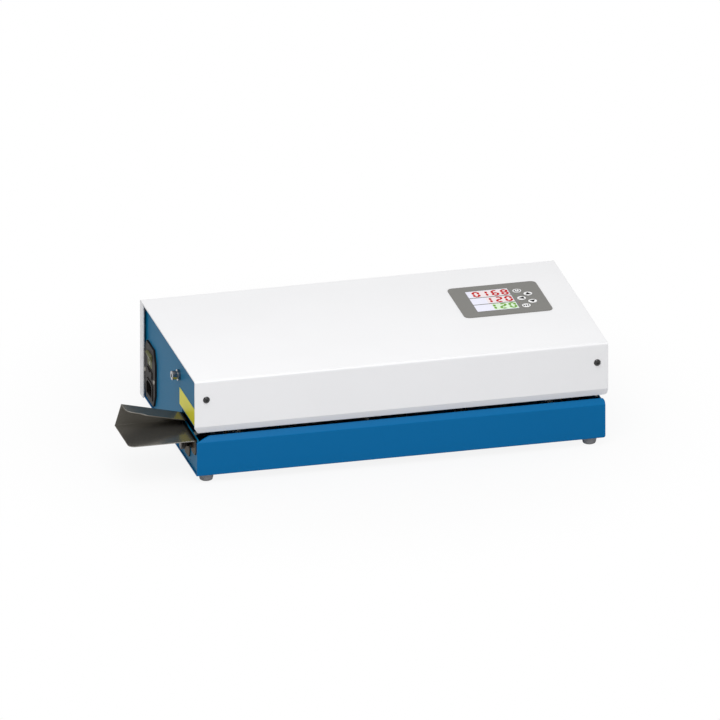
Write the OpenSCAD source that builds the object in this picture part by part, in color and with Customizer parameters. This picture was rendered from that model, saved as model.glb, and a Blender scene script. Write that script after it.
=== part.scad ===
// Tabletop continuous heat sealer for pouches, with an infeed guide at its left end.
// Millimetres. X runs along the machine in the feed direction, +Y towards its back, +Z up.
// The origin lies on the supporting surface, under the middle of the whole outline.

/* [Body] */
// Length of the cover, left to right
body_w = 505; // [420:1:640]
// Depth of the body, front to back
body_d = 266; // [240:1:340]
// Height of the body without its feet
body_h = 121.4; // [115:0.1:160]
// Thickness of the folded sheet
sheet = 1.5; // [1:0.1:2]
// Outer bend radius of the cover
cover_bend = 2.4; // [2.1:0.1:4]
// How far the cover reaches past the base at the left end
base_inset = 2.8; // [2:0.1:5]
// How far the cover reaches past the base at the right end
base_short = 3.2; // [2:0.1:8]
// Height of the base's upright front wall
base_front_h = 42.6; // [40:0.1:44]
// Width of the side flange folded from the cover's back wall
return_w = 14.5; // [10:0.5:20]

/* [Sealing slot] */
// Height of the feed plane above the underside of the base
feed_z = 51.4; // [50.5:0.1:56]
// Clear height of the slot between the two front lips
slot_h = 4.4; // [3:0.1:5]
// Depth of the base's sloping front lip
base_lip = 5.4; // [4:0.1:7]
// Depth of the cover's sloping front lip
cover_lip = 5.1; // [4:0.1:7]
// Height of the cover's sloping front lip
cover_drop = 9.3; // [8:0.1:12]
// Length over which the base's lip fades out at the left end
lip_run = 17; // [10:1:25]
// Length over which the cover's lip fades out at the left end
hem_run = 5.5; // [4:0.5:10]
// How far a pouch edge reaches in from the front
reach = 78; // [74:1:90]
// Height of the side slot below the feed plane
side_slot_low = 6; // [5:0.5:8]
// Height of the side slot above the feed plane
side_slot_high = 4.5; // [4:0.5:8]

/* [Feet and cover screws] */
// Height of a rubber foot
foot_h = 9.6; // [7:0.1:16]
// Radius of a foot at its top
foot_top_r = 9.4; // [8:0.1:12]
// Radius of a foot at its sole
foot_sole_r = 8; // [7.2:0.1:9.4]
// Distance of the feet from the ends of the base
foot_inset_x = 14.5; // [14:0.5:40]
// Distance of the feet from the front and back
foot_inset_y = 13.5; // [13:0.5:50]
// Head radius of a cover screw
cover_screw_r = 4.2; // [3.5:0.1:5]
// Height of the cover screws above the underside of the base
cover_screw_z = 97.4; // [80:0.1:105]
// Distance of the cover screws from the ends
cover_screw_inset = 11.5; // [8:0.5:20]

/* [Infeed guide] */
// How far the guide reaches out to the left
guide_out = 79.2; // [60:0.1:110]
// Thickness of the stainless sheet
guide_t = 1; // [0.8:0.1:1.2]
// Corner radius of the lower plate
guide_corner = 8; // [4:0.5:15]
// Height of the back wall at the machine
guide_wall_in = 8; // [7:0.5:9]
// Height of the back wall at the outer end
guide_wall_out = 26; // [15:1:35]
// Width of the upper flap
flap_w = 27; // [20:1:40]
// Sideways adjustment of the guide, each way
guide_adjust = 3; // [1:0.5:4]

/* [Transport] */
// Module of the gears
gear_module = 1; // [1:0.1:1.1]
// Teeth of the two equal drive gears
drive_teeth = 30; // [28:1:32]
// Teeth of the motor's pinion
pinion_teeth = 15; // [14:1:18]
// Width of the gears
gear_w = 8; // [5:0.5:10]
// Width of the transport belts
belt_w = 14; // [8:1:18]
// Thickness of the belts
belt_t = 1.5; // [1:0.1:2]
// Distance of the belts' middle from the front
belt_y = 41; // [38:1:44]
// Distance of the idler pulleys from the left end
idler_x = 62; // [55:1:90]
// Distance of the drive pulleys from the right end
drive_inset = 62; // [55:1:90]
// Radius of the roller shafts
shaft_r = 4; // [3:0.5:5]
// Thickness of the carrier plate
carrier_t = 4; // [3:0.5:6]

/* [Control panel] */
// Length of the panel overlay
panel_w = 108; // [100:1:130]
// Depth of the panel overlay
panel_d = 93; // [85:1:110]
// Corner radius of the panel overlay
panel_corner = 7; // [4:0.5:10]
// Distance of the panel from the right end
panel_inset_x = 37.7; // [15:0.1:60]
// Distance of the panel from the back edge
panel_inset_y = 59; // [25:1:90]
// Thickness of the panel overlay
panel_t = 0.8; // [0.5:0.1:1.5]
// Length of the display window
window_w = 51; // [40:1:53]
// Depth of the display window
window_d = 62.5; // [50:0.5:66]
// Radius of a key
key_r = 5.2; // [4:0.1:5.5]
// Travel of a key
key_travel = 0.5; // [0.3:0.1:0.8]
// Distance between neighbouring keys of one column
key_pitch = 23.4; // [20:0.1:26]

/* [Left end] */
// Height of the inlet's middle above the underside of the base
inlet_z = 42.4; // [40:0.1:60]
// Width of the inlet's flange
inlet_w = 50; // [46:1:56]
// Height of the inlet's flange
inlet_h = 72; // [68:1:76]
// Distance of the service socket from the front
socket_y = 91; // [88:1:140]
// Height of the service socket above the underside of the base
socket_z = 94.4; // [84:0.1:100]
// Outer radius of the service socket
socket_r = 5.6; // [5:0.1:7]
// Bore radius of the service socket
socket_bore_r = 2.5; // [2:0.1:3]
// How far the service socket stands out
socket_out = 10; // [8:0.5:14]

/* [Clearances] */
// Radial clearance of a shaft in its bush
run_fit = 0.05; // [0.03:0.01:0.09]
// Radial clearance of a pulley, gear or screw on the piece that it is fixed to
seat_fit = 0.02; // [0.01:0.01:0.04]
// Gap around a moving key, rocker or drawer
slide_gap = 0.25; // [0.2:0.05:0.4]
// Gap between a belt and what turns inside it
belt_gap = 0.3; // [0.25:0.05:0.4]
// Gap between the inlet's flange and the cover's side flange
inlet_gap = 0.5; // [0.2:0.1:2]
// Gap between the two belts, for the pouch film
film_gap = 0.3; // [0.2:0.05:0.4]

/* [Hidden] */
$fn = 64;
blue = [0.06, 0.37, 0.6];
white = [0.93, 0.93, 0.94];
steel = [0.62, 0.63, 0.65];
dark_steel = [0.25, 0.26, 0.26];
black = [0.1, 0.1, 0.1];
brass = [0.78, 0.62, 0.3];
board_green = [0.1, 0.35, 0.2];
eps = 0.1;

// Body datum: left face of the cover, front face and underside of the base
x_left = guide_out / 2 - body_w / 2;
y_front = -body_d / 2;
base_left = base_inset;
base_right = body_w - base_short;
left_face = base_left + sheet;
left_inner = left_face + sheet;
right_face = base_right - sheet;
right_inner = right_face - sheet;
slot_low = feed_z - slot_h / 2;
slot_high = feed_z + slot_h / 2;
base_top = base_front_h;
lip_rise = slot_low - base_top;
cover_hem = slot_high + cover_drop;
side_low = feed_z - side_slot_low;
side_high = feed_z + side_slot_high;
under_cover = body_h - sheet;
inlet_y = body_d - return_w - inlet_gap - inlet_w / 2;
inlet_screw_y = inlet_w / 2 - 3.2;
// Drive train
gear_centres = gear_module * drive_teeth;
belt_off = gear_centres / 2;
pulley_r = belt_off - belt_t - belt_gap - film_gap / 2;
press_r = pulley_r / 1.5;
press_off = belt_off - pulley_r + press_r;
lower_z = feed_z - belt_off;
upper_z = feed_z + belt_off;
drive_x = body_w - drive_inset;
press_x = drive_x - 110;
pinion_x = drive_x - gear_module * (drive_teeth + pinion_teeth) / 2;
carrier_y = reach + 4;
carrier_back = carrier_y + carrier_t;
gear_y = carrier_back + 4;
bush_r = shaft_r + 2;
bush_flange_r = bush_r + 2;
bush_front = carrier_y - 14;
shaft_front = belt_y - belt_w / 2 - 4;
shaft_end = gear_y + gear_w + 1.5;
motor_r = 18;
motor_plate_y = shaft_end + 3;
motor_shaft_r = 3;
// Panel
panel_x = body_w - panel_inset_x - panel_w;
panel_y = body_d - panel_inset_y - panel_d;
panel_top = body_h + panel_t;
window_x = panel_x + 19;
window_y = panel_y + (panel_d - window_d) / 2;
key_x = window_x + window_w + 9.6;
key_y = panel_y + panel_d / 2 - 2.8;
key_step = 10.6;
board_z = under_cover - 14;
board_t = 1.6;

module at_body() translate([x_left, y_front, foot_h]) children();
module along_x(length) rotate([90, 0, 90]) linear_extrude(length) children();
// Extrudes an XZ outline from y0 towards the back
module along_y(y0, length) translate([0, y0 + length, 0]) rotate([90, 0, 0]) linear_extrude(length)
  children();
module rod_y(x, y0, z, r, length) translate([x, y0, z]) rotate([-90, 0, 0]) cylinder(r = r, h = length);
module rod_x(x0, y, z, r, length) translate([x0, y, z]) rotate([0, 90, 0]) cylinder(r = r, h = length);

function unit(v) = v / norm(v);
function left_of(v) = [-v[1], v[0]];
function heading(path, i) = unit(path[i + 1] - path[i]);
// Point of a path moved sideways by d, mitred at its corners
function beside(path, i, d) = let(
  last = len(path) - 1,
  n1 = left_of(heading(path, max(i - 1, 0))),
  n2 = left_of(heading(path, min(i, last - 1))),
  m = unit(n1 + n2)) path[i] + m * d / (m * n1);
// Closed outline of a folded sheet whose one face follows the path
function folded(path, t) = concat(path, [for (i = [len(path) - 1:-1:0]) beside(path, i, t)]);
// Path with its inner corners rounded to a radius
function corner_arc(a, p, b, r, n) = let(
  u = unit(a - p), v = unit(b - p), half = acos(u * v) / 2,
  c = p + unit(u + v) * r / sin(half),
  s = unit(p + u * r / tan(half) - c), e = unit(p + v * r / tan(half) - c), turn = 180 - 2 * half)
  [for (k = [0:n]) c + r * (s * sin(turn * (1 - k / n)) + e * sin(turn * k / n)) / sin(turn)];
function rounded(path, r, n = 4) = let(last = len(path) - 1) concat(
  [path[0]],
  [for (i = [1:last - 1]) each corner_arc(path[i - 1], path[i], path[i + 1], r, n)],
  [path[last]]);
module round_rect(w, d, r) {
  points = [[0, 0], [w, 0], [w, d], [0, d]];
  polygon([for (i = [0:3]) each corner_arc(points[(i + 3) % 4], points[i], points[(i + 1) % 4], r, 6)]);
}
// Involute spur gear outline with a tooth on +X
function involute(rb, r, a) = let(t = sqrt(max(0, pow(r / rb, 2) - 1)), w = t * 180 / PI - atan(t) + a)
  [r * cos(w), r * sin(w)];
module gear_outline(teeth, m) {
  rp = m * teeth / 2;
  rb = rp * cos(20);
  ro = rp + 0.9 * m;
  rr = rp - 1.15 * m;
  low = max(rb, rr);
  tp = sqrt(pow(rp / rb, 2) - 1);
  half = 90 / teeth - 0.5 + (tp * 180 / PI - atan(tp));
  flank = [for (k = [0:4]) involute(rb, low + (ro - low) * k / 4, -half)];
  polygon([for (i = [0:teeth - 1]) let(a = i * 360 / teeth) each [for (p = concat(
    [[rr * cos(half + 0.8), -rr * sin(half + 0.8)]], flank, [for (k = [4:-1:0]) [flank[k][0], -flank[k][1]]],
    [[rr * cos(half + 0.8), rr * sin(half + 0.8)]]))
    [p[0] * cos(a) - p[1] * sin(a), p[0] * sin(a) + p[1] * cos(a)]]]);
}

// --- Folded housing ---
module lip_cut(z, rise, up) {
  // Wedge that fades a front lip out towards the left end
  translate([0, -eps, 0]) along_y(0, base_lip + sheet + 4) polygon([
    [base_left - eps, z], [base_left + lip_run, z + rise], [base_left + lip_run, z + rise + up],
      [base_left - eps, z + rise + up]]);
}

module base_tray() color(blue) at_body() difference() {
  translate([base_left, 0, 0]) along_x(base_right - base_left) polygon(folded(rounded([
      [base_lip, slot_low], [0, base_top], [0, 0], [body_d - sheet - 0.2, 0], [body_d - sheet - 0.2, 14]
    ], sheet + 0.3), sheet));
  lip_cut(base_top, lip_rise, 8);
  corner_cut(base_right, 0, 3.5, 1, sheet + 2);
  corner_cut(base_right, slot_low, 4, -1, base_lip + 3);
  for (x = foot_x, y = foot_y) translate([x, y, -eps]) cylinder(r = 2 + seat_fit, h = sheet + 2 * eps);
}

// Rounds the free end of a front sheet at its lower corner (up = 1) or its upper one (up = -1)
module corner_cut(x, z, r, up, depth) along_y(-eps, depth + eps) difference() {
  translate([x - r, up > 0 ? z - 1 : z - r]) square([r + 1, r + 1]);
  translate([x - r, z + up * r]) circle(r = r);
}

foot_x = [base_left + foot_inset_x, base_right - foot_inset_x - 2];
foot_y = [foot_inset_y, body_d - foot_inset_y - 4];
screw_x = [base_left + cover_screw_inset, base_right - cover_screw_inset + 1.5];

module side_outline(edge) polygon([
  [sheet + edge, sheet], [sheet + edge, base_top - 1], [sheet + 3, side_low], [reach, side_low],
  [reach, side_high], [cover_lip + 3, side_high], [sheet + edge, cover_hem + 2.6], [sheet + edge,
    under_cover - edge],
  [body_d - sheet - 0.2 - edge, under_cover - edge], [body_d - sheet - 0.2 - edge, 15],
    [body_d - 2 * sheet - 0.2 - edge, 15],
  [body_d - 2 * sheet - 0.2 - edge, sheet]
]);

module left_side_plate() color(blue) at_body() difference() {
  union() {
    translate([left_face, 0, 0]) along_x(sheet) side_outline(0.2);
    // Flanges folded inwards for the cover screws
    for (y = [sheet + 0.2, body_d - 2 * sheet - 0.2]) translate([left_inner - eps, y, cover_screw_z - 14])
      cube([18, sheet, 22]);
  }
  translate([left_face - eps, inlet_y, inlet_z]) along_x(sheet + 2 * eps) square([inlet_w - 10,
    inlet_h - 10], center = true);
  rod_x(left_face - eps, socket_y, socket_z, socket_r - 1 + seat_fit, sheet + 2 * eps);
  rod_x(left_face - eps, thumb_y, thumb_z, 2 + run_fit, sheet + 2 * eps);
  for (s = [-1, 1]) rod_x(left_face - eps, inlet_y + s * inlet_screw_y, inlet_z - 3, 1.45 + seat_fit,
    sheet + 2 * eps);
  cover_screw_holes();
}

module cover_screw_holes() for (x = screw_x) rod_y(x, -1, cover_screw_z, 2 + seat_fit, body_d + 2);

module right_side_plate() color(blue) at_body() difference() {
  union() {
    translate([right_inner, 0, 0]) along_x(sheet) side_outline(0.2);
    for (y = [sheet + 0.2, body_d - 2 * sheet - 0.2]) translate([right_inner - 18 + eps, y,
      cover_screw_z - 14])
      cube([18, sheet, 22]);
  }
  cover_screw_holes();
  // Cooling louvres
  for (k = [0:5]) translate([right_inner - eps, 150 + k * 12, 62]) along_x(sheet + 2 * eps) round_rect(4, 34,
    1.9);
}

module cover() color(white) at_body() difference() {
  union() {
    along_x(body_w) polygon(folded(rounded([
      [body_d, 1], [body_d, body_h], [0, body_h], [0, cover_hem], [cover_lip, slot_high]
    ], cover_bend), sheet));
    // Side flanges folded from the back wall
    translate([0, body_d - return_w, 1]) cube([sheet - 0.02, return_w - eps, body_h - 2]);
    translate([body_w - sheet, body_d - return_w, 1]) cube([sheet, return_w - eps, body_h - 2]);
  }
  hem_cut();
  corner_cut(body_w, slot_high, 4, 1, cover_lip + 3);
  cover_screw_holes();
  translate([window_x + 2, window_y + 2, body_h - sheet - eps]) cube([window_w - 4, window_d - 4,
    sheet + 2 * eps]);
  for (k = keys) translate([k[0], k[1], body_h - sheet - eps]) cylinder(r = key_r + slide_gap,
    h = sheet + 2 * eps);
}

module hem_cut() translate([0, -eps, 0]) along_y(0, cover_lip + 3)
  polygon([[-eps, cover_hem - 1.2], [hem_run, slot_high - 1.2], [-eps, slot_high - 1.2]]);

module rubber_feet() color([0.4, 0.4, 0.4]) translate([x_left, y_front, 0]) for (x = foot_x, y = foot_y)
  translate([x, y, 0]) rotate_extrude() polygon([
    [2.05, 4], [4.6, 4], [4.6, 0], each [for (a = [-90:18:-18]) [foot_sole_r - 2 + 2 * cos(a),
      2 + 2 * sin(a)]],
    [foot_top_r, foot_h - 1], [foot_top_r, foot_h], [2.05, foot_h]
  ]);

module foot_screws() color(steel) translate([x_left, y_front, 0]) for (x = foot_x, y = foot_y) translate([x,
  y, 0]) {
  translate([0, 0, 4]) rotate_extrude() polygon([[0, -1.8], [3, -1.8], [4, -1], [4, 0], [2, 0], [2,
    foot_h + 1.5], [0, foot_h + 1.5]]);
  translate([0, 0, foot_h + sheet]) difference() {
    cylinder(r = 4, h = 3.2, $fn = 6);
    translate([0, 0, -eps]) cylinder(r = 2 + seat_fit, h = 4);
  }
}

module cover_screws() color(black) at_body() for (x = screw_x) {
  screw_y(x, 0, 1);
  screw_y(x, body_d, -1);
}

// Domed screw along Y with its hexagon socket
module screw_y(x, y, dir) translate([x, y, cover_screw_z]) rotate([dir > 0 ? -90 : 90, 0, 0]) difference() {
  rotate_extrude() polygon(concat([[0, 8]], [[2, 8], [2, 0], [cover_screw_r, 0]],
    [for (a = [15:15:90]) [cover_screw_r * cos(a), -2.3 * sin(a)]]));
  translate([0, 0, -2.4]) cylinder(r = 1.4, h = 1.6, $fn = 6);
}

// --- Control panel ---
keys = [
  [key_x, key_y - key_pitch],
  [key_x + key_step, key_y + key_pitch / 2], [key_x + key_step, key_y - key_pitch / 2],
  [key_x, key_y], [key_x, key_y + key_pitch]
];

module panel_overlay() color([0.53, 0.53, 0.51]) at_body() difference() {
  translate([panel_x, panel_y, body_h]) linear_extrude(panel_t) round_rect(panel_w, panel_d, panel_corner);
  translate([window_x, window_y, body_h - eps]) cube([window_w, window_d, panel_t + 2 * eps]);
  for (k = keys) translate([k[0], k[1], body_h - eps]) cylinder(r = key_r + slide_gap, h = panel_t + 2 * eps);
}

module display_window() color([0.86, 0.85, 0.92]) at_body() difference() {
  translate([window_x + 0.02, window_y + 0.02, body_h]) cube([window_w - 0.04, window_d - 0.04, panel_t]);
  // Grooves between the three rows
  for (k = [1:2]) translate([window_x, window_y + k * window_d / 3 - 0.8, body_h + panel_t - 0.3])
    cube([window_w, 1.6, 1]);
}

module display_board() color(board_green) at_body() difference() {
  translate([panel_x + 4, panel_y + 4, board_z]) cube([panel_w - 8, panel_d - 8, board_t]);
  for (s = studs) translate([s[0], s[1], board_z - eps]) cylinder(r = 1.6, h = board_t + 2 * eps);
}

studs = [for (x = [panel_x + 9, panel_x + panel_w - 9], y = [panel_y + 9, panel_y + panel_d - 9]) [x, y]];

// Welded studs with their nuts, and the tactile switches and digit modules soldered to the board
module board_studs() color(steel) at_body() {
  for (s = studs) translate([s[0], s[1], 0]) {
    translate([0, 0, board_z - 4]) cylinder(r = 1.5, h = under_cover - board_z + 4);
    translate([0, 0, board_z + board_t]) difference() {
      cylinder(r = 3, h = 3, $fn = 6);
      translate([0, 0, -eps]) cylinder(r = 1.5 + seat_fit, h = 4);
    }
    translate([0, 0, board_z - 2.4]) difference() {
      cylinder(r = 3, h = 2.4, $fn = 6);
      translate([0, 0, -eps]) cylinder(r = 1.5 + seat_fit, h = 4);
    }
  }
  for (k = keys) translate([k[0] - 3, k[1] - 3, board_z + board_t]) cube([6, 6, 4]);
  for (k = [0:2]) translate([window_x + 3, window_y + 2 + k * window_d / 3, board_z + board_t])
    cube([window_w - 6, window_d / 3 - 4, 9]);
}

// One key: disc in the overlay, flange under the cover and a stem down to its switch
module key(k) color(white) at_body() translate([keys[k][0], keys[k][1], 0]) {
  translate([0, 0, under_cover - 1.2]) cylinder(r = key_r, h = panel_top + 0.4 - under_cover + 1.2);
  translate([0, 0, under_cover - 1.4]) cylinder(r = key_r + 1, h = 1.2);
  translate([0, 0, board_z + board_t + 4 + key_travel + 0.1])
    cylinder(r = 1.6, h = under_cover - 1.3 - (board_z + board_t + 4 + key_travel + 0.1));
}

// --- Left end ---
module side_label() color([0.82, 0.8, 0.35]) at_body() translate([left_face - 0.25, 0, 0]) along_x(0.25)
  polygon([[17, side_high + 2], [90, side_high + 2], [90, side_high + 23], [17, side_high + 23]]);

rocker_w = 21;
rocker_h = 19;
rocker_z = inlet_z + 17.5;
drawer_z = inlet_z + 1;
drawer_h = 9;
socket_w = 25;
cold_z = inlet_z - 19.5;
flange_t = 2.5;
inlet_face = left_face - flange_t;

module octagon(w, h, cut_w, cut_h) polygon([
  [-w / 2, -h / 2 + cut_h], [-w / 2 + cut_w, -h / 2], [w / 2 - cut_w, -h / 2], [w / 2, -h / 2 + cut_h],
  [w / 2, h / 2 - cut_h], [w / 2 - cut_w, h / 2], [-w / 2 + cut_w, h / 2], [-w / 2, h / 2 - cut_h]
]);

// Outline of the connector recess: a rectangle with its two upper corners cut
module cold_outline(w, h) polygon([
  [-w / 2, -h / 2], [w / 2, -h / 2], [w / 2, h / 2 - 4], [w / 2 - 4, h / 2], [-w / 2 + 4, h / 2], [-w / 2,
    h / 2 - 4]
]);

module inlet_housing() color(black) at_body() difference() {
  translate([0, inlet_y, inlet_z]) {
    translate([inlet_face, 0, 0]) along_x(flange_t) octagon(inlet_w, inlet_h, 8, 16);
    translate([left_face - eps, 0, 0]) along_x(26) square([inlet_w - 10.4, inlet_h - 10.4], center = true);
    // Raised rim around the connector recess
    translate([inlet_face - 1, 0, cold_z - inlet_z]) along_x(1 + eps) cold_outline(socket_w + 5, 21);
  }
  translate([inlet_face - 2, inlet_y, cold_z]) along_x(18.5) cold_outline(socket_w, 16.5);
  translate([inlet_face - 2, inlet_y, rocker_z]) along_x(14) square([rocker_w, rocker_h], center = true);
  translate([inlet_face - 2, inlet_y, drawer_z]) along_x(24) square([socket_w, drawer_h], center = true);
  rod_y(inlet_face + 3, inlet_y - rocker_w / 2 - 2, rocker_z, 1 + run_fit, rocker_w + 4);
  pin_blades(seat_fit);
  for (s = [-1, 1]) rod_x(inlet_face - eps, inlet_y + s * inlet_screw_y, inlet_z - 3, 1.6,
    flange_t + 2 * eps);
}

module pin_blades(fit) for (p = [[-7, -2], [7, -2], [0, 2.5]])
  translate([inlet_face + 4, inlet_y + p[0] - 1 - fit, cold_z + p[1] - 2 - fit])
    cube([22 + flange_t + 8, 2 + 2 * fit, 4 + 2 * fit]);
module inlet_pins() color(steel) at_body() pin_blades(0);

// Rocker with its pivot pins, pressed in at its lower half
module inlet_rocker() color([0.25, 0.3, 0.16]) at_body() union() {
  translate([0, inlet_y - rocker_w / 2 + slide_gap, 0]) rotate([90, 0, 0]) mirror([0, 0, 1])
    linear_extrude(rocker_w - 2 * slide_gap) polygon([
      [inlet_face - 3, rocker_z + 7], [inlet_face - 0.2, rocker_z - 0.2], [inlet_face + 0.1, rocker_z - 8.7],
      [inlet_face + 4, rocker_z - 9], [inlet_face + 7.5, rocker_z - 3], [inlet_face + 7.5, rocker_z + 3],
      [inlet_face + 3.5, rocker_z + 9], [inlet_face - 1.2, rocker_z + 8.2]]);
  rod_y(inlet_face + 3, inlet_y - rocker_w / 2 - 1.8, rocker_z, 1, rocker_w + 3.6);
}

module fuse_drawer() color(black) at_body() translate([0, inlet_y, drawer_z]) {
  translate([inlet_face - 1.2, 0, 0]) along_x(22) square([socket_w - 2 * slide_gap,
    drawer_h - 2 * slide_gap], center = true);
  translate([inlet_face - 2, -4, drawer_h / 2 - 2.2]) cube([1, 8, 1.4]);
}

module inlet_screws() color(steel) at_body() for (s = [-1, 1]) translate([0, inlet_y + s * inlet_screw_y,
  inlet_z - 3])
  rotate([0, 90, 0]) translate([0, 0, inlet_face]) rotate_extrude()
    polygon([[0, -1.2], [1.8, -1.1], [2.6, -0.6], [2.8, 0], [1.45, 0], [1.45, 9], [0, 9]]);

module service_socket() color(steel) at_body() difference() {
  translate([0, socket_y, socket_z]) rotate([0, 90, 0]) rotate_extrude() polygon([
    [0, left_face - socket_out], [socket_r - 0.6, left_face - socket_out], [socket_r,
      left_face - socket_out + 0.6],
    [socket_r, left_face - 4.5], [socket_r - 0.8, left_face - 4.2], [socket_r - 0.8, left_face - 3.4],
    [socket_r + 1.2, left_face - 3], [socket_r + 1.2, left_face], [socket_r - 1, left_face], [socket_r - 1,
      left_inner + 12],
    [0, left_inner + 12]
  ]);
  rod_x(left_face - socket_out - eps, socket_y, socket_z, socket_bore_r, socket_out + 6);
}

module socket_nut() color(steel) at_body() difference() {
  rod_hex(left_inner, socket_y, socket_z, socket_r + 2, 3);
  rod_x(left_inner - eps, socket_y, socket_z, socket_r - 1 + seat_fit, 4);
}
module rod_hex(x, y, z, r, h) translate([x, y, z]) rotate([0, 90, 0]) cylinder(r = r, h = h, $fn = 6);

// --- Infeed guide ---
thumb_y = 51;
thumb_z = 22.4;
guide_top = side_low - 0.3;
guide_back = reach - 4.6;
guide_gap = 0.3;

module lower_plate_outline() difference() {
  polygon(concat(
    [[left_face - guide_gap, 3.2], [left_face - guide_gap, guide_back + guide_t], [-guide_out,
      guide_back + guide_t]],
    corner_arc([-guide_out, guide_back], [-guide_out, 3.2], [0, 3.2], guide_corner, 6)));
}

module guide_flange_outline() {
  // Two lobes with an arched notch between them
  difference() {
    polygon(concat([[guide_back, guide_top - guide_t], [7, guide_top - guide_t]],
      corner_arc([7, guide_top], [7, 22.4], [28, 22.4], 8, 5), corner_arc([7, 22.4], [28, 22.4], [34, 32.4],
        5, 4),
      [[33, 26.4], [37, 26.4]],
      corner_arc([37, 26.4], [38, 8.9], [60, 8.9], 7, 5), corner_arc([38, 8.9], [62, 8.9], [guide_back,
        32.4], 9, 5)));
    translate([thumb_y, thumb_z]) circle(r = 2.3);
    translate([thumb_y - guide_adjust, thumb_z - 2.3]) square([2 * guide_adjust, 4.6]);
    for (s = [-1, 1]) translate([thumb_y + s * guide_adjust, thumb_z]) circle(r = 2.3);
  }
}

module infeed_guide() color(dark_steel) at_body() {
  translate([0, 0, guide_top - guide_t]) linear_extrude(guide_t) lower_plate_outline();
  translate([left_face - guide_gap - guide_t, 0, 0]) along_x(guide_t) guide_flange_outline();
  // Back wall, taller towards the outer end
  along_y(guide_back, guide_t) polygon([
    [-guide_out, guide_top - guide_t], [left_face - guide_gap, guide_top - guide_t],
    [left_face - guide_gap, guide_top + guide_wall_in], [-guide_out + 8, guide_top + guide_wall_out]]);
  flap();
}

// Upper flap folded forward from the sloping top of the back wall, with a wavy free edge
module flap() {
  rise = guide_wall_out - guide_wall_in;
  run = guide_out - 8 + left_face - guide_gap;
  slope = atan(rise / run);
  length = norm([rise, run]);
  translate([-guide_out + 8, guide_back + guide_t, guide_top + guide_wall_out]) rotate([0, slope, 0])
    translate([0, 0, -guide_t]) linear_extrude(guide_t) polygon(concat(
      [[0, 0], [0.6, -flap_w + 9]], corner_arc([0.6, -15], [3, -flap_w + 4], [20, -flap_w + 3], 7, 4),
      [for (k = [0:6]) [17 + k * 1.6, -flap_w + 1.6 + 1.6 * cos(k * 30)]],
      [[length - 6, -flap_w + 1], [length - 0.25, -flap_w + 2], [length - 0.25, 0]]));
}

module guide_thumbscrew() color(steel) at_body() translate([0, thumb_y, thumb_z]) rotate([0, 90, 0])
  rotate_extrude()
  polygon([[0, left_face - 9.3], [5.4, left_face - 9.3], [6.2, left_face - 8.5], [6.2, left_face - 4.4],
    [5.4, left_face - 3.8], [3.4, left_face - 3.6], [3.4, left_face - guide_gap - guide_t - 0.1],
    [2, left_face - guide_gap - guide_t - 0.1], [2, left_inner + 5], [0, left_inner + 5]]);

// --- Transport ---
guide_from = left_inner + 0.05;
guide_to = right_inner - 0.05;
throat_y = belt_y - belt_w / 2 - 3;
plate_y = throat_y - 9;
guide_tabs = [idler_x + 48, press_x - 80, press_x + 50];

// Lower guide plate with a lead-in at each end and a rear edge turned down
module lower_guide_plate() color([0.66, 0.68, 0.64]) at_body() {
  along_y(plate_y, throat_y - plate_y) polygon(folded(rounded([
    [guide_to, side_low - 1], [guide_to - 10, slot_low - 0.4], [guide_from + 12, slot_low - 0.4],
      [guide_from, side_low - 1]
  ], 2), 1));
  for (x = guide_tabs) translate([x, throat_y - 3, sheet]) cube([12, 1, slot_low - 1.3 - sheet]);
  for (x = guide_tabs) translate([x, throat_y - 12, sheet]) cube([12, 10, 1]);
}

module upper_guide_plate() color([0.66, 0.68, 0.64]) at_body() {
  along_y(plate_y, throat_y - plate_y) polygon(folded(rounded([
    [guide_from, side_high + 0.6], [guide_from + 12, slot_high + 0.4], [guide_to - 12, slot_high + 0.4],
      [guide_to, side_high + 0.6]
  ], 2), 1));
  // Hanger tabs up to the carrier's top angle
  for (x = guide_tabs) {
    translate([x, throat_y - 1, slot_high + 0.9]) cube([12, 1, carrier_top - slot_high - 0.9]);
    translate([x, throat_y - 1, carrier_top]) cube([12, carrier_y - throat_y + 8, 1]);
  }
}

carrier_top = body_h - 21;
carrier_x0 = idler_x - 22;
carrier_x1 = drive_x + 24;
shaft_list = [
  [drive_x, lower_z], [drive_x, upper_z], [idler_x, lower_z], [idler_x, upper_z],
  [press_x, feed_z - press_off], [press_x, feed_z + press_off]
];

module carrier_plate() color([0.7, 0.71, 0.73]) at_body() difference() {
  translate([carrier_x0, carrier_y, sheet + 3]) cube([carrier_x1 - carrier_x0, carrier_t,
    carrier_top - sheet - 3]);
  for (s = shaft_list) rod_y(s[0], carrier_y - eps, s[1], bush_r, carrier_t + 2 * eps);
}

// Angle brackets that stand the carrier plate on the base
module carrier_feet() color([0.7, 0.71, 0.73]) at_body() for (x = [carrier_x0 + 8,
  (carrier_x0 + carrier_x1) / 2, carrier_x1 - 21])
  translate([x, 0, 0]) along_x(20) polygon([
    [carrier_back, sheet], [carrier_back + 22, sheet], [carrier_back + 22, sheet + 2], [carrier_back + 2,
      sheet + 2],
    [carrier_back + 2, sheet + 12], [carrier_back, sheet + 12]]);

module shaft_bushes() color(brass) at_body() for (s = shaft_list) difference() {
  union() {
    rod_y(s[0], bush_front, s[1], bush_flange_r - 0.6, carrier_y - bush_front);
    rod_y(s[0], carrier_y - eps, s[1], bush_r - seat_fit, carrier_t + 2 + eps);
  }
  rod_y(s[0], bush_front - eps, s[1], shaft_r + run_fit, carrier_t + 20);
}

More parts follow.
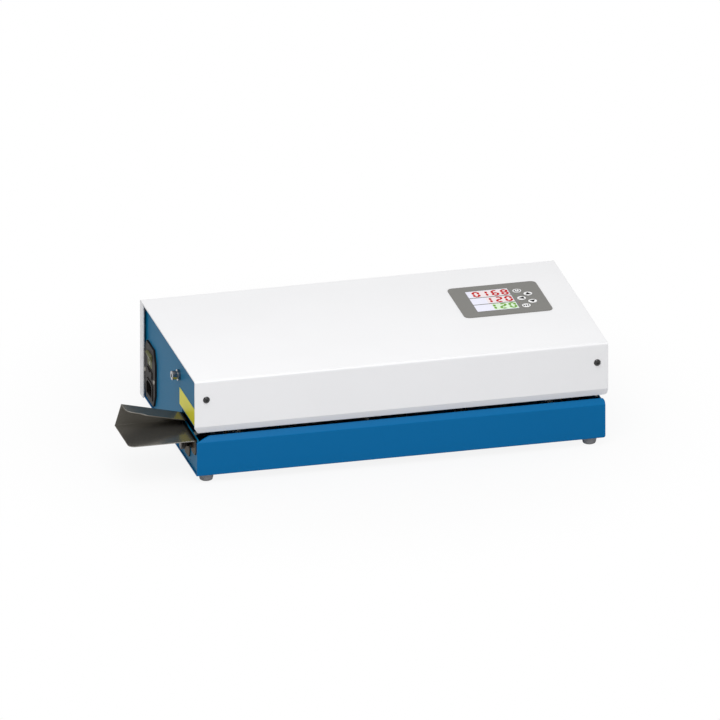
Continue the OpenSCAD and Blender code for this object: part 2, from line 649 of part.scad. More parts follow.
// Shaft with a shoulder washer groove at its front end and a flat tail for the gear
module shaft(x, z, tail) color(steel) at_body() translate([x, shaft_front, z]) rotate([-90, 0, 0])
  rotate_extrude()
  polygon([[0, 0], [shaft_r - 0.6, 0], [shaft_r, 0.6], [shaft_r, 1.2], [shaft_r - 0.5, 1.2], [shaft_r - 0.5,
    2.2],
    [shaft_r, 2.2], [shaft_r, tail - shaft_front], [0, tail - shaft_front]]);

// Flanged belt pulley, bored for its shaft
module pulley(x, z) color([0.75, 0.76, 0.78]) at_body() translate([x, belt_y - belt_w / 2 - 0.3, z])
  rotate([-90, 0, 0])
  rotate_extrude() polygon([
    [shaft_r + seat_fit, -1], [shaft_r + 3, -1], [shaft_r + 3, 1], [pulley_r - 3, 1], [pulley_r - 3, 0],
      [pulley_r, 0],
    [pulley_r, belt_w + 0.6], [pulley_r - 3, belt_w + 0.6], [pulley_r - 3, belt_w - 1], [shaft_r + 5,
      belt_w - 1],
    [shaft_r + 5, bush_front - belt_y + belt_w / 2 + 0.1], [shaft_r + seat_fit,
      bush_front - belt_y + belt_w / 2 + 0.1]]);

module belt_outline(r) {
  translate([idler_x, 0]) circle(r = r);
  translate([drive_x, 0]) circle(r = r);
  translate([idler_x, -r]) square([drive_x - idler_x, 2 * r]);
}
module belt(z) color([0.45, 0.4, 0.33]) at_body() translate([0, 0, z]) along_y(belt_y - belt_w / 2, belt_w)
  difference() {
  belt_outline(pulley_r + belt_gap + belt_t);
  belt_outline(pulley_r + belt_gap);
}

module gear(x, z, teeth, bore, turn) color([0.72, 0.7, 0.6]) at_body() translate([x, 0, z]) difference() {
  union() {
    along_y(gear_y, gear_w) rotate(turn) gear_outline(teeth, gear_module);
    rod_y(0, gear_y - 1.4, 0, bore + 3, gear_w + 1.4);
  }
  rod_y(0, gear_y - 2, 0, bore + seat_fit, gear_w + 4);
}

module press_roller(z) color(steel) at_body() translate([press_x, shaft_front, z]) rotate([-90, 0, 0])
  rotate_extrude()
  polygon([[0, 0], [shaft_r - 0.6, 0], [shaft_r, 0.6], [shaft_r, 3.5], [press_r - 0.5, 3.5], [press_r, 4],
    [press_r, 4 + belt_w],
    [press_r - 0.5, 4.5 + belt_w], [shaft_r + 1.5, 4.5 + belt_w], [shaft_r + 1.5,
      bush_front - shaft_front - 0.2],
    [shaft_r, bush_front - shaft_front - 0.2], [shaft_r, carrier_back + 3 - shaft_front], [0,
      carrier_back + 3 - shaft_front]]);

module motor_shaft() color(steel) at_body()
  rod_y(pinion_x, gear_y - 2, lower_z, motor_shaft_r, motor_plate_y - gear_y + 22);

motor_z = lower_z;
// Gearmotor: round gearbox, motor can and rear cap with terminals
module gear_motor() color([0.3, 0.31, 0.33]) at_body() difference() {
  union() {
    rod_y(pinion_x, motor_plate_y + 2, motor_z, motor_r, 24);
    rod_y(pinion_x, motor_plate_y + 26, motor_z, motor_r - 1.5, 48);
    rod_y(pinion_x, motor_plate_y + 74, motor_z, motor_r - 6, 5);
    for (s = [-1, 1]) translate([pinion_x + s * 8 - 1.5, motor_plate_y + 74, motor_z + 6]) cube([3, 9, 0.8]);
  }
  rod_y(pinion_x, motor_plate_y, motor_z, motor_shaft_r + run_fit, 24);
}

module motor_plate() color([0.7, 0.71, 0.73]) at_body() difference() {
  union() {
    translate([pinion_x - 24, motor_plate_y, sheet]) cube([48, 2, lower_z + 22 - sheet]);
    translate([pinion_x - 24, motor_plate_y + 2 - eps, sheet]) cube([48, 16, 2]);
  }
  rod_y(pinion_x, motor_plate_y - eps, motor_z, motor_shaft_r + 3, 3);
}

// --- Heaters ---
heater_x = idler_x + 45;
heater_l = 130;
heater_h = 9;
heater_d = 11;
heater_off = film_gap / 2 + belt_t + belt_gap;
spring_h = 5;
spring_x = [heater_x + 16, heater_x + heater_l - 16];

module heater_bar(up) color(brass) at_body() translate([0, 0, feed_z]) mirror([0, 0, up ? 0 : 1])
  difference() {
  along_y(belt_y - heater_d / 2, heater_d) polygon([
    [heater_x, heater_off + 1.5], [heater_x + 4, heater_off], [heater_x + heater_l - 4, heater_off],
    [heater_x + heater_l, heater_off + 1.5], [heater_x + heater_l, heater_off + heater_h], [heater_x,
      heater_off + heater_h]]);
  rod_x(heater_x - eps, belt_y, heater_off + heater_h / 2, 2.5, heater_l + 2 * eps);
}

// Holders reach from the carrier plate into the belt loops
module heater_holders() color([0.7, 0.71, 0.73]) at_body() for (up = [0, 1])
  translate([0, 0, feed_z]) mirror([0, 0, up ? 0 : 1]) difference() {
    translate([heater_x + 6, belt_y - heater_d / 2, heater_off + heater_h + spring_h])
      cube([heater_l - 12, carrier_y - belt_y + heater_d / 2, 3.5]);
    for (x = spring_x) translate([x, belt_y, 0]) cylinder(r = 1.5 + seat_fit, h = 40);
  }

function coil(turns, r, h, a) = [r * cos(a), r * sin(a), h * a / 360 / turns];
// Compression spring: a round wire swept along a helix
module spring(r, wire, h, turns, step = 36) {
  rings = turns * 360 / step;
  sides = 6;
  points = [for (i = [0:rings]) let(a = i * step, c = coil(turns, r, h - 2 * wire, a))
    each [for (k = [0:sides - 1]) let(b = k * 360 / sides, q = r + wire * cos(b))
      [q * cos(a), q * sin(a), c[2] + wire + wire * sin(b)]]];
  faces = [for (i = [0:rings - 1], k = [0:sides - 1]) let(j = (k + 1) % sides)
    [i * sides + k, (i + 1) * sides + k, (i + 1) * sides + j, i * sides + j]];
  polyhedron(points, concat(faces, [[for (k = [0:sides - 1]) k], [for (k = [sides - 1:-1:0])
    rings * sides + k]]));
}

module heater_springs() color(steel) at_body() for (up = [0, 1], x = spring_x)
  translate([x, belt_y, feed_z]) mirror([0, 0, up ? 0 : 1]) translate([0, 0, heater_off + heater_h])
    spring(3, 0.45, spring_h, 3);

module heater_pins() color(steel) at_body() for (up = [0, 1], x = spring_x)
  translate([x, belt_y, feed_z]) mirror([0, 0, up ? 0 : 1]) translate([0, 0, heater_off + heater_h]) {
    cylinder(r = 1.5, h = spring_h + 3.5);
    translate([0, 0, spring_h + 3.5]) cylinder(r = 2.6, h = 1.4);
  }

// --- Electronics ---
spacer_h = 8;
board_x = 70;
board_y = 128;
supply_x = 250;
boards = [[board_x, board_y, 130, 95], [supply_x, board_y + 5, 110, 80]];
module board_plate(b) difference() {
  translate([b[0], b[1], sheet + spacer_h]) cube([b[2], b[3], board_t]);
  for (x = [5, b[2] - 5], y = [5, b[3] - 5]) translate([b[0] + x, b[1] + y, sheet + spacer_h - eps])
    cylinder(r = 1.6, h = board_t + 2 * eps);
}
module main_board() color(board_green) at_body() board_plate(boards[0]);
module power_supply() color([0.6, 0.45, 0.2]) at_body() {
  board_plate(boards[1]);
  top = sheet + spacer_h + board_t;
  translate([supply_x + 35, board_y + 25, top]) cube([36, 36, 30]);
  translate([supply_x + 84, board_y + 18, top]) cube([4, 50, 28]);
  for (k = [0:1]) translate([supply_x + 18, board_y + 22 + k * 24, top]) cylinder(r = 8, h = 32);
}
module board_parts() color(black) at_body() {
  top = sheet + spacer_h + board_t;
  translate([board_x + 14, board_y + 12, top]) cube([30, 30, 24]);
  translate([board_x + 60, board_y + 30, top]) cube([14, 14, 2]);
  for (k = [0:3]) translate([board_x + 20 + k * 24, board_y + 78, top]) cube([20, 10, 11]);
  for (k = [0:2]) translate([board_x + 92, board_y + 22 + k * 18, top]) cylinder(r = 5, h = 14);
}
module board_spacers() color(steel) at_body() for (b = boards, x = [5, b[2] - 5], y = [5, b[3] - 5])
  translate([b[0] + x, b[1] + y, sheet]) {
    cylinder(r = 3, h = spacer_h, $fn = 6);
    translate([0, 0, spacer_h]) cylinder(r = 1.5, h = board_t);
    translate([0, 0, spacer_h + board_t]) cylinder(r = 2.8, h = 1.6);
  }

base_tray();
left_side_plate();
right_side_plate();
cover();
rubber_feet();
foot_screws();
cover_screws();
panel_overlay();
display_window();
display_board();
board_studs();
key(0);  // key_menu
key(1);  // key_up
key(2);  // key_down
key(3);  // key_back
key(4);  // key_run
side_label();
inlet_housing();
inlet_pins();
inlet_rocker();
fuse_drawer();
inlet_screws();
service_socket();
socket_nut();
infeed_guide();
guide_thumbscrew();
lower_guide_plate();
upper_guide_plate();
carrier_plate();
carrier_feet();
shaft_bushes();
shaft(drive_x, lower_z, shaft_end);  // lower_drive_shaft
shaft(drive_x, upper_z, shaft_end);  // upper_drive_shaft
shaft(idler_x, lower_z, carrier_back + 3);  // lower_idler_shaft
shaft(idler_x, upper_z, carrier_back + 3);  // upper_idler_shaft
pulley(drive_x, lower_z);  // lower_drive_pulley
pulley(drive_x, upper_z);  // upper_drive_pulley
pulley(idler_x, lower_z);  // lower_idler_pulley
pulley(idler_x, upper_z);  // upper_idler_pulley
belt(lower_z);  // lower_belt
belt(upper_z);  // upper_belt
gear(drive_x, lower_z, drive_teeth, shaft_r,  // lower_drive_gear
  180 / drive_teeth);
gear(drive_x, upper_z, drive_teeth, shaft_r, 0);  // upper_drive_gear
press_roller(feed_z - press_off);  // lower_press_roller
press_roller(feed_z + press_off);  // upper_press_roller
gear(pinion_x, lower_z, pinion_teeth, motor_shaft_r, 0);  // motor_pinion
motor_shaft();
gear_motor();
motor_plate();
heater_bar(false);  // lower_heater_bar
heater_bar(true);  // upper_heater_bar
heater_holders();
heater_springs();
heater_pins();
main_board();
board_parts();
power_supply();
board_spacers();
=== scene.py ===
import math

import bmesh
import bpy
from mathutils import Matrix, Vector


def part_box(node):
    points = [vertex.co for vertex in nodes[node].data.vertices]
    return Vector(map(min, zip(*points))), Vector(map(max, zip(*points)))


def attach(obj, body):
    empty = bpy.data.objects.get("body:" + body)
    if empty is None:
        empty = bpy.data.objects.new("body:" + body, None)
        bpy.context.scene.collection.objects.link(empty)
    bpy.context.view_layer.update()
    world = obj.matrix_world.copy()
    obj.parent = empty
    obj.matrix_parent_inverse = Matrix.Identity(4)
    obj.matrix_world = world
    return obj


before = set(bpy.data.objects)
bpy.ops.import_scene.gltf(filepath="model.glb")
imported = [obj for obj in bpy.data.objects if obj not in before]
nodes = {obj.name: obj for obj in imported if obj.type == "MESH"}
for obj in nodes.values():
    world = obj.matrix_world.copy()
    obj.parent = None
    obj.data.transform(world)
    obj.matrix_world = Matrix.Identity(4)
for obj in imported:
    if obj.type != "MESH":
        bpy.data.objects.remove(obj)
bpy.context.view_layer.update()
MM = 0.001

# Camera: the machine seen from its front left and above, along parallel lines.
# The corner's x and y say where the base's lower front left corner lies in the picture, in pixels.
PICTURE = 720
PIXELS_PER_MM = 0.844
CORNER_X, CORNER_Y = 197, 476.87
CAMERA_DISTANCE = 3
FARTHEST_SEEN = 20
turn, lift = math.radians(-14.1), math.radians(22.4)
pixel = 1 / PIXELS_PER_MM * MM
back = Vector((math.sin(turn) * math.cos(lift), -math.cos(turn) * math.cos(lift), math.sin(lift)))
right = Vector((math.cos(turn), math.sin(turn), 0))
up = back.cross(right)
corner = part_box("base_tray")[0]
aim = corner + right * (PICTURE / 2 - CORNER_X) * pixel + up * (CORNER_Y - PICTURE / 2) * pixel
camera = bpy.data.objects.new("camera", bpy.data.cameras.new("camera"))
camera.data.type = "ORTHO"
camera.data.ortho_scale = PICTURE * pixel
camera.data.clip_end = FARTHEST_SEEN
camera.rotation_mode = "QUATERNION"
camera.rotation_quaternion = back.to_track_quat("Z", "Y")
camera.location = aim + back * CAMERA_DISTANCE
bpy.context.collection.objects.link(camera)
bpy.context.scene.camera = camera
bpy.context.scene.view_settings.view_transform = "Standard"


# Floor and studio: a white sheet under the machine and three soft lamps.
# Rays to the camera, from gloss and through glass see plain white further out, so metal shows
# the same surroundings, and the sheet keeps the machine's shadow.
class Wire:
    """A socket of a material's nodes. Sums, differences and products of wires add Math nodes."""

    def __init__(self, socket):
        self.socket = socket

    def node(self, kind, settings=(), outlet=0, **values):
        """Adds a node: its settings, then the values or links of its inputs. inN names input N."""
        made = self.socket.id_data.nodes.new(kind)
        for key, value in dict(settings).items():
            setattr(made, key, value)
        for key, value in values.items():
            numbered = key[:2] == "in" and key[2:].isdigit()
            feed(made.inputs[int(key[2:]) if numbered else key], value)
        return Wire(made.outputs[outlet])

    def math(self, operation, *others):
        """A Math node whose first term is this wire."""
        terms = {f"in{k}": term for k, term in enumerate((self, *others))}
        return self.node("ShaderNodeMath", {"operation": operation}, **terms)

    def parts(self):
        """The wires of a place's x, y and z."""
        split = self.node("ShaderNodeSeparateXYZ", Vector=self)
        return [Wire(outlet) for outlet in split.socket.node.outputs]

    def __add__(self, other):
        return self.math("ADD", other)

    def __mul__(self, other):
        return self.math("MULTIPLY", other)

    def __sub__(self, other):
        return self.math("SUBTRACT", other)

    __radd__ = __add__


def feed(inlet, value):
    if isinstance(value, Wire):
        inlet.id_data.links.new(value.socket, inlet)
    else:
        inlet.default_value = value


def finish_of(name, colour, roughness, metallic=0.0, **more):
    """A new material, its shader's inputs, and the wire that gives the place on the object."""
    made = bpy.data.materials.new(name)
    made.use_nodes = True
    shader = made.node_tree.nodes["Principled BSDF"]
    shader.inputs["Base Color"].default_value = (*colour, 1)
    shader.inputs["Roughness"].default_value = roughness
    shader.inputs["Metallic"].default_value = metallic
    for key, value in more.items():
        shader.inputs[key.replace("_", " ")].default_value = value
    place = Wire(made.node_tree.nodes.new("ShaderNodeTexCoord").outputs["Object"])
    return made, shader.inputs, place


def soft_lamp(name, place, target, size, watts):
    lamp = bpy.data.objects.new(name, bpy.data.lights.new(name, "AREA"))
    lamp.data.size = size
    lamp.data.energy = watts
    lamp.location = place
    lamp.rotation_euler = (Vector(place) - Vector(target)).to_track_quat("Z", "Y").to_euler()
    bpy.context.collection.objects.link(lamp)


def seen_rays(tree):
    """1 for rays to the camera, from gloss or through glass, and 0 for the others."""
    rays = tree.nodes.new("ShaderNodeLightPath").outputs
    kinds = ("Camera", "Glossy", "Transmission")
    return sum(Wire(rays[f"Is {kind} Ray"]) for kind in kinds).math("MINIMUM", 1.0)


AMBIENT = 0.5
FLOOR_RADIUS = 6
FLOOR_DROP = 0.5 * MM
FADE_NEAR, FADE_FAR, FADE_SHARE = 0.2, 0.5, 0.88
soft_lamp("key_lamp", (-0.3, -1.1, 1.75), (0, 0, 0), 1.4, 28)
soft_lamp("top_lamp", (0.2, 0.4, 2.0), (0, 0, 0), 1.8, 5)
soft_lamp("side_lamp", (-1.8, -0.3, 0.8), (0, 0, 0.05), 1.2, 0.8)
world = bpy.data.worlds.new("studio")
bpy.context.scene.world = world
world.use_nodes = True
sky = world.node_tree.nodes["Background"]
sky.inputs["Color"].default_value = (1, 1, 1, 1)
feed(sky.inputs["Strength"], seen_rays(world.node_tree) * (1 - AMBIENT) + AMBIENT)

floor = bpy.data.objects.new("floor", bpy.data.meshes.new("floor"))
bm = bmesh.new()
bmesh.ops.create_circle(bm, cap_ends=True, segments=64, radius=FLOOR_RADIUS)
bm.to_mesh(floor.data)
bm.free()
floor.location.z = -FLOOR_DROP
bpy.context.collection.objects.link(floor)
paper, _, place = finish_of("studio_paper", (0.68, 0.68, 0.69), 0.9)
paper_nodes = paper.node_tree.nodes
reach = place.node("ShaderNodeVectorMath", {"operation": "LENGTH"}, 1, in0=place)
fade = reach.node("ShaderNodeMapRange", {"interpolation_type": "SMOOTHSTEP"},
                  in0=reach, in1=FADE_NEAR, in2=FADE_FAR, in3=FADE_SHARE, in4=1.0)
glow = place.node("ShaderNodeEmission", Color=(1, 1, 1, 1), Strength=1.0)
sheet = place.node("ShaderNodeMixShader", in0=fade * seen_rays(paper.node_tree),
                   in1=Wire(paper_nodes["Principled BSDF"].outputs[0]), in2=glow)
feed(paper_nodes["Material Output"].inputs["Surface"], sheet)
floor.data.materials.append(paper)


# Base tray: one sheet of 1.5 mm steel, folded up at the front and back with a sloping front lip.
# It is powder-coated blue: a fine orange peel, faint clouds of colour and a soft gloss.
def noise(place, scale, detail=2.0):
    return place.node("ShaderNodeTexNoise", Vector=place, Scale=scale, Detail=detail)


def soften(place, inlets, height, strength, distance, radius=0.0005):
    """Bump over rounded edges, as enamel, moulding and deburring leave them."""
    edge = place.node("ShaderNodeBevel", {"samples": 4}, Radius=radius)
    feed(inlets["Normal"], place.node("ShaderNodeBump", Height=height, Strength=strength,
                                      Distance=distance, Normal=edge))


def tint(place, low, high, share):
    """Colour between two others, by a wire from 0 to 1."""
    return place.node("ShaderNodeMix", {"data_type": "RGBA"}, 2, in0=share,
                      in6=(*low, 1), in7=(*high, 1))


def clouded(place, colour, darkest, lightest, share):
    """A colour that wanders between two shares of itself."""
    return tint(place, [c * darkest for c in colour], [c * lightest for c in colour], share)


def dress(material, *names):
    for name in names:
        mesh = nodes[name].data
        mesh.materials.clear()
        mesh.materials.append(material)


def powder_coat(name, colour, roughness, gloss, *names):
    made, inlets, place = finish_of(name, colour, roughness, Specular_IOR_Level=gloss)
    cloud = noise(place, 8.0, 3.0)
    feed(inlets["Base Color"], clouded(place, colour, 0.975, 1.025, cloud))
    feed(inlets["Roughness"], cloud * 0.08 + (roughness - 0.04))
    soften(place, inlets, noise(place, 1000.0, 1.0), 0.1, 0.0002)
    dress(made, *names)


powder_coat("blue_powder_coat", (0.0008, 0.125, 0.322), 0.4, 0.08, "base_tray")

# Side plates: sheet steel that stands in the base tray, with flanges folded in for screws.
# Their blue coat is a little duller, with a trace of green.
powder_coat("blue_plate_coat", (0.002, 0.143, 0.288), 0.42, 0.04,
            "left_side_plate", "right_side_plate")

# Cover: one sheet of steel folded to a top, front wall, back wall and narrow side flanges.
# It drops over the side plates, is held by four screws, and is powder-coated white.
powder_coat("white_powder_coat", (0.8, 0.8, 0.81), 0.42, 0.45, "cover")


# Feet: grey moulded rubber, matt and slightly rough to the touch.
# Each has a screw in its counterbore that holds it under the base tray.
def moulding(name, colour, roughness, *names, grain=700.0, depth=0.12, metallic=0.0,
             **more):
    """A moulded, painted or printed surface: faint clouds of colour and sheen on a fine grain."""
    made, inlets, place = finish_of(name, colour, roughness, metallic, **more)
    cloud = noise(place, 28.0, 3.0)
    feed(inlets["Base Color"], clouded(place, colour, 0.93, 1.07, cloud))
    feed(inlets["Roughness"], cloud * 0.12 + (roughness - 0.06))
    soften(place, inlets, noise(place, grain, 2.0), depth, 0.0001, 0.0003)
    dress(made, *names)
    return made


moulding("grey_rubber", (0.23, 0.23, 0.235), 0.75, "rubber_feet", grain=1500.0, depth=0.3,
         Specular_IOR_Level=0.3)


# Fasteners: zinc-plated screws, studs, spacers, pins and springs inside and below.
# Dark nickel holds the inlet, and blackened domed screws with a thin lacquer hold the cover.
def metal(name, colour, roughness, grain, *names, depth=0.08):
    """Bare metal whose streaks are drawn out by the three scales of its grain."""
    made, inlets, place = finish_of(name, colour, roughness, 1.0)
    streak = noise(place.node("ShaderNodeMapping", Vector=place, Scale=grain), 1.0, 3.0)
    feed(inlets["Base Color"], clouded(place, colour, 0.88, 1.1, streak))
    feed(inlets["Roughness"], streak * 0.16 + (roughness - 0.08))
    soften(place, inlets, streak, depth, 0.0001, 0.0003)
    dress(made, *names)


metal("zinc_plate", (0.58, 0.59, 0.57), 0.34, (500, 500, 500), "foot_screws", "board_studs",
      "board_spacers", "heater_pins", "heater_springs")
metal("dark_nickel", (0.22, 0.21, 0.19), 0.35, (500, 500, 500), "inlet_screws")
moulding("blackened_steel", (0.008, 0.008, 0.008), 0.15, "cover_screws", grain=900.0, depth=0.01,
         Specular_IOR_Level=0.4, Coat_Weight=0.3)

# Panel: matt grey printed film stuck to the cover, with a window over a display of three rows.
# Thin grey bars part the rows, and behind the figures of each row the ground is faintly lit.
NO_GLOSS = 0.02
BAR = 1.8
GROUND_MARGIN, GROUND_EDGE = 1.1, 0.4
moulding("panel_film", (0.178, 0.175, 0.163), 0.5, "panel_overlay", grain=1800.0, depth=0.1,
         Specular_IOR_Level=0.25)
moulding("display_film", (0.78, 0.78, 0.9), 0.35, "display_window", grain=2200.0, depth=0.04)
window_low, window_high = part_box("display_window")
window_w = (window_high.x - window_low.x) / MM
row_mm = (window_high.y - window_low.y) / 3 / MM
over_window = Matrix.Translation((window_low.x, window_low.y, window_high.z))


def flat_marks(name, shapes, matrix, material, body, thick):
    """Thin raised shapes, given in millimetres in the plane of the matrix, that ride on a body."""
    piece = bpy.data.objects.new(name, bpy.data.meshes.new(name))
    bm = bmesh.new()
    for shape in shapes:
        face = bm.faces.new([bm.verts.new((x * MM, y * MM, 0)) for x, y in shape])
        grown = bmesh.ops.extrude_face_region(bm, geom=[face])["geom"]
        raised = [part for part in grown if isinstance(part, bmesh.types.BMVert)]
        bmesh.ops.translate(bm, vec=(0, 0, thick * MM), verts=raised)
    bmesh.ops.recalc_face_normals(bm, faces=bm.faces)
    bmesh.ops.transform(bm, matrix=matrix, verts=bm.verts)
    bm.to_mesh(piece.data)
    bm.free()
    piece.data.materials.append(material)
    bpy.context.collection.objects.link(piece)
    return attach(piece, body)


def rectangle(x0, y0, x1, y1):
    return [(x0, y0), (x1, y0), (x1, y1), (x0, y1)]


def lit(name, colour, glow):
    """A surface with a faint light of its own and no gloss."""
    made = moulding(name, colour, 0.5, grain=1500.0, depth=0.03, Specular_IOR_Level=NO_GLOSS)
    shader = made.node_tree.nodes["Principled BSDF"].inputs
    shader["Emission Color"].default_value = (*colour, 1)
    shader["Emission Strength"].default_value = glow
    return made


bar_ink = moulding("bar_ink", (0.2, 0.2, 0.19), 0.6, Specular_IOR_Level=NO_GLOSS)
bars = [rectangle(0, k * row_mm - BAR / 2, window_w, k * row_mm + BAR / 2) for k in (1, 2)]
flat_marks("display_bars", bars, over_window, bar_ink, "chassis", 0.05)
pale_red = lit("lit_ground_red", (0.8, 0.72, 0.73), 0.05)
pale_green = lit("lit_ground_green", (0.66, 0.8, 0.62), 0.05)
for name, row, left, ground in (
        ("back", 2, 6, pale_red), ("middle", 1, 19, pale_red), ("front", 0, 21.5, pale_green)):
    shape = rectangle(left, row * row_mm + GROUND_MARGIN,
                      window_w - GROUND_EDGE, (row + 1) * row_mm - GROUND_MARGIN)
    flat_marks(f"display_ground_{name}", [shape], over_window, ground,
               "chassis", 0.03)

# Digits: seven-segment figures in millimetres, drawn as thin raised strokes with pointed ends.
# The two rear rows are red and the front one is green.
DIGIT_W, DIGIT_H, STROKE, PITCH = 9.0, 16.8, 3.0, 11.5
JOINT_GAP, FIGURE_EDGE, ONE_ACROSS = 0.3, 1.0, 0.7
# Each segment's place across and up its figure, from 0 to 1, and whether it stands upright.
SEGMENTS = {"a": (0.5, 1, False), "g": (0.5, 0.5, False), "d": (0.5, 0, False),
            "f": (0, 0.75, True), "b": (1, 0.75, True), "e": (0, 0.25, True), "c": (1, 0.25, True)}
FIGURES = {"0": "abcdef", "1": "bc", "2": "abged", "6": "acdefg", "8": "abcdefg"}


def segment(x, y, length, upright):
    half, thin = length / 2, STROKE / 2
    shape = [(-half, 0), (-half + thin, thin), (half - thin, thin),
             (half, 0), (half - thin, -thin), (-half + thin, -thin)]
    if upright:
        shape = [(v, u) for u, v in reversed(shape)]
    return [(x + u, y + v) for u, v in shape]


def figures(text, right, foot):
    wide, tall = DIGIT_W - STROKE, DIGIT_H - STROKE
    for k, digit in enumerate(reversed(text)):
        left = right - DIGIT_W - k * PITCH + STROKE / 2
        for key in FIGURES[digit]:
            u, v, upright = SEGMENTS[key]
            u = ONE_ACROSS if digit == "1" else u
            length = (tall / 2 if upright else wide) - JOINT_GAP
            yield segment(left + u * wide, foot + STROKE / 2 + v * tall, length, upright)


red_digit = lit("lit_red", (0.5, 0.006, 0.006), 0.03)
green_digit = lit("lit_green", (0.16, 0.34, 0.05), 0.03)
for name, row, text, light in (
        ("back", 2, "0168", red_digit), ("middle", 1, "120", red_digit),
        ("front", 0, "120", green_digit)):
    foot = row * row_mm + (row_mm - DIGIT_H) / 2
    flat_marks(f"display_digits_{name}", figures(text, window_w - FIGURE_EDGE, foot),
               over_window, light, "chassis", 0.08)

# Indicators: two tiny lamps in the film, between the display and the keys.
# One is green and one is red.
def disc(x, y, radius, sides=20):
    turns = [k * math.tau / sides for k in range(sides)]
    return [(x + radius * math.cos(t), y + radius * math.sin(t)) for t in turns]


INDICATOR_X, INDICATOR_R = 4.1, 0.75
panel_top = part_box("panel_overlay")[1].z
over_panel = Matrix.Translation((window_high.x, window_low.y, panel_top))
for name, y, light in (("green", 38.2, green_digit), ("red", 16.8, red_digit)):
    flat_marks(f"indicator_{name}", [disc(INDICATOR_X, y, INDICATOR_R)], over_panel, light,
               "chassis", 0.06)

# Keys: white moulded discs that stand a little above the film and sink when pressed.
# Each carries a plain black mark: arrows, a ring with a tick, or three bars.
moulding("key_plastic", (0.86, 0.86, 0.86), 0.4, "key_menu", "key_up", "key_down", "key_back",
         "key_run", grain=900.0)
ink = moulding("black_ink", (0.008, 0.008, 0.008), 0.6, Specular_IOR_Level=NO_GLOSS)


def ring(outer, inner, start, sweep, sides=28):
    """A ring, or an open arc of one that starts and sweeps by degrees."""
    turns = [math.radians(start + sweep * k / sides) for k in range(sides + 1)]
    arc = [(math.cos(t), math.sin(t)) for t in turns]
    outside = [(x * outer, y * outer) for x, y in arc]
    return outside + [(x * inner, y * inner) for x, y in reversed(arc)]


MARKS = {
    "run": [ring(3.8, 2.5, 120, 300), rectangle(-0.6, 0.4, 0.6, 4.1)],
    "back": [[(-4.3, 0), (2.9, -3.7), (2.9, 3.7)]],
    "menu": [rectangle(x - 0.75, -2.2, x + 0.75, 2.2) for x in (-2.7, 0, 2.7)],
    "up": [[(0, 4.3), (-3.7, -2.9), (3.7, -2.9)]],
    "down": [[(0, -4.3), (3.7, 2.9), (-3.7, 2.9)]],
}
for name, shapes in MARKS.items():
    low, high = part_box(f"key_{name}")
    top = Matrix.Translation(((low.x + high.x) / 2, (low.y + high.y) / 2, high.z))
    flat_marks(f"mark_{name}", shapes, top, ink, f"{name}_key", 0.04)

# Side label: a bare yellow film stuck to the left side plate.
# It has a soft gloss and nothing printed on it.
moulding("yellow_film", (0.8, 0.75, 0.035), 0.45, "side_label", grain=1600.0, depth=0.05,
         Specular_IOR_Level=0.2)

# Inlet: a black moulded housing with a fuse drawer, three nickel-plated blades and an olive rocker.
# It is screwed into the left side plate, and the rocker carries the two plain marks of a switch.
moulding("black_moulding", (0.013, 0.011, 0.01), 0.5, "inlet_housing", "fuse_drawer",
         grain=1000.0, depth=0.1, Specular_IOR_Level=0.1)
moulding("olive_rocker", (0.14, 0.145, 0.07), 0.4, "inlet_rocker", depth=0.04,
         Specular_IOR_Level=0.03)
metal("nickel", (0.55, 0.53, 0.46), 0.25, (300, 300, 300), "inlet_pins")
switch_paint = moulding("switch_paint", (0.7, 0.7, 0.66), 0.45)
low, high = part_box("inlet_rocker")
edge = Vector((low.x, (low.y + high.y) / 2, (low.z + high.z) / 2))
# The rocker's two sloping faces, each from its foot to its tip: millimetres in from the rocker's
# outer edge, and up from its middle.
for name, foot, tip, shapes in (
        ("on", (2.8, -0.2), (0, 7.0), [rectangle(-0.55, -2.1, 0.55, 2.1)]),
        ("off", (3.1, -8.7), (2.8, -0.2), [ring(2.2, 1.3, 0, 359)])):
    foot, tip = (edge + Vector((x * MM, 0, z * MM)) for x, z in (foot, tip))
    rise = (tip - foot).normalized()
    across = Vector((0, -1, 0))
    axes = Matrix((across, rise, across.cross(rise))).transposed().to_4x4()
    face = Matrix.Translation((foot + tip) / 2) @ axes
    flat_marks(f"mark_{name}", shapes, face, switch_paint, "rocker", 0.06)

# Service socket: a turned and chromed barrel with a dark bore, through the left side plate.
# A chromed nut holds it from inside.
metal("chrome", (0.32, 0.32, 0.33), 0.14, (900, 250, 250), "service_socket", "socket_nut",
      depth=0.03)

# Infeed guide: bent from dark ground stainless sheet, which mirrors the plate and label beside it.
# It is clamped by a thumbscrew to the side plate, and the flange there carries painted shade: a
# near-black brown, much darker than the faint brown tone of the bare steel itself.
# Painted shade on the guide beside the side plate: full up to 3 mm out from the plate's outer face,
# fading to none at 4.5 mm out.
SHADED_TO, UNSHADED_FROM = 3.0 * MM, 4.5 * MM
stainless, inlets, place = finish_of("dark_stainless", (0.25, 0.24, 0.22), 0.25, 0.85,
                                    Specular_Tint=(0.48, 0.46, 0.43, 1), Specular_IOR_Level=0.1)
streak = noise(place.node("ShaderNodeMapping", Vector=place, Scale=(60, 1500, 1500)), 1.0, 3.0)
outer_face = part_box("left_side_plate")[0].x
across = place.parts()[0]
# flange is the mask of that painted shade, by the distance out from the side plate.
flange = across.node("ShaderNodeMapRange", in0=across, in1=outer_face - UNSHADED_FROM,
                     in2=outer_face - SHADED_TO)
sheet_colour = tint(place, (0.225, 0.217, 0.2), (0.265, 0.256, 0.236), streak)
# The streaked sheet colour, with the painted shade's near-black brown mixed in where the mask is
# full.
feed(inlets["Base Color"], place.node("ShaderNodeMix", {"data_type": "RGBA"}, 2, in0=flange,
                                      in6=sheet_colour, in7=(0.04, 0.032, 0.023, 1)))
feed(inlets["Roughness"], streak * 0.08 + 0.15)
soften(place, inlets, streak, 0.008, 0.0001, 0.0003)
dress(stainless, "infeed_guide")


